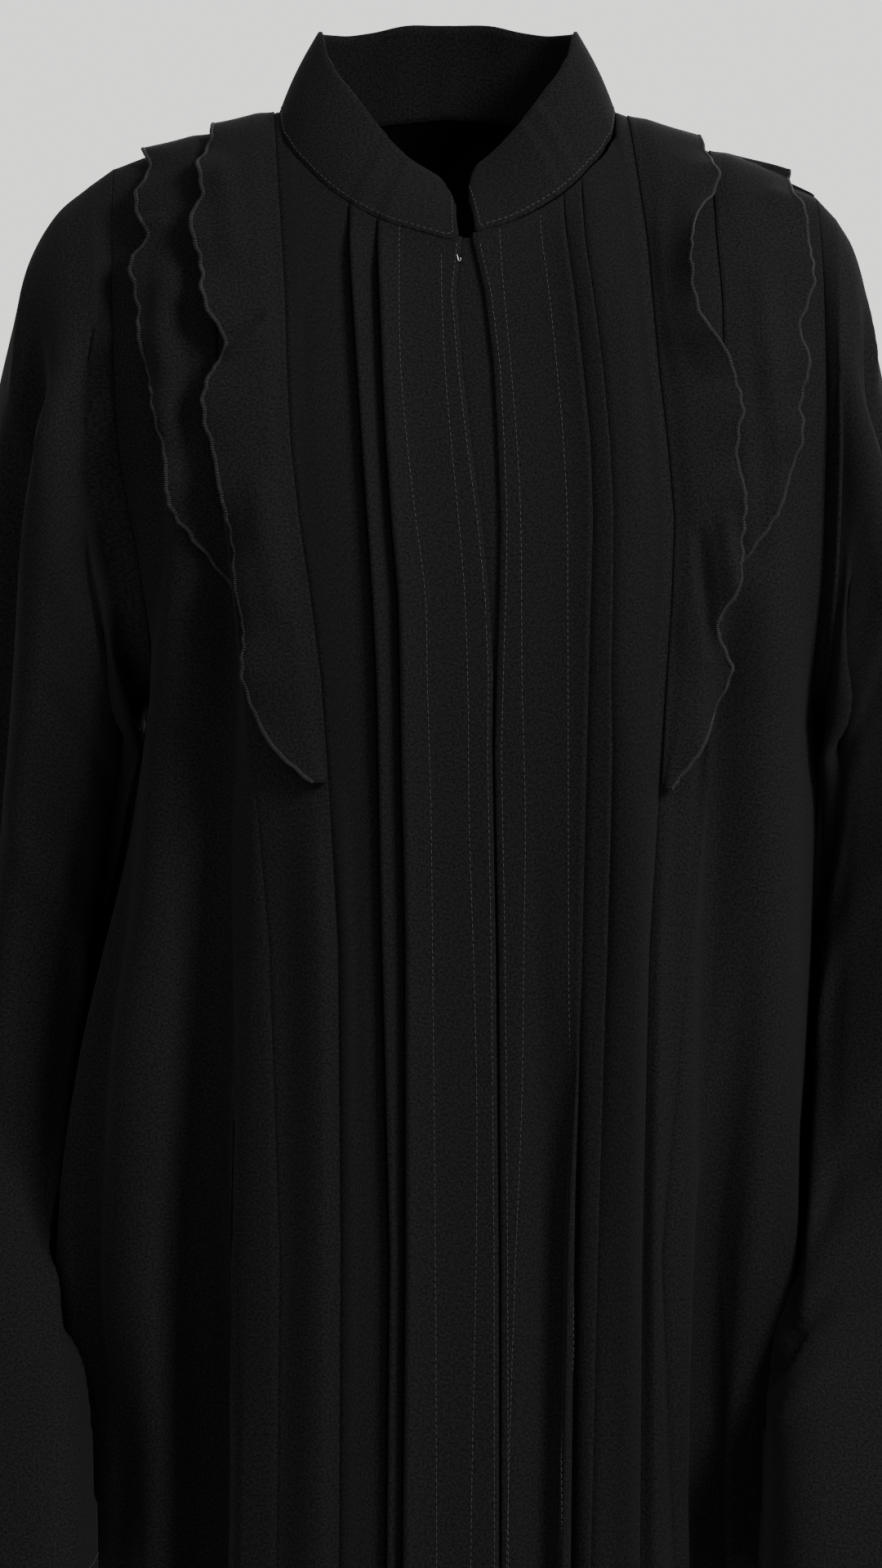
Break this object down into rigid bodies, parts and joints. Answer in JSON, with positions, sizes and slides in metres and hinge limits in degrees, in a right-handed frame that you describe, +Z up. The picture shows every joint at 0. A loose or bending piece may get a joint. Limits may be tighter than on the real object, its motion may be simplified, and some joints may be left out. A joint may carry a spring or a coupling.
{
  "type": "abaya cloak",
  "caption": "Long black open-front abaya with a stand collar, knife pleats and ruffles sewn into the front seams, held hollow as worn.",
  "frame": {"origin": "middle of the neck, level with the collar seam at the sides, where the worn garment is held", "axes": "+Z up along the body, the front faces -Y, the wearer's left is at +X"},
  "size_m": [0.5999, 0.4538, 1.4222],
  "materials": {
    "black_crepe": "matte crepe with a very soft sheen"
  },
  "bodies": {
    "root": {"collar_stand": "black_crepe", "front_right": "black_crepe", "front_left": "black_crepe", "underlap_strip": "black_crepe", "front_right_middle": "black_crepe", "front_left_middle": "black_crepe", "front_right_side": "black_crepe", "front_left_side": "black_crepe", "back": "black_crepe", "sleeve_right": "black_crepe", "sleeve_left": "black_crepe", "ruffle_right_inner": "black_crepe", "ruffle_right_outer": "black_crepe", "ruffle_left_inner": "black_crepe", "ruffle_left_outer": "black_crepe"}
  },
  "joints": []
}
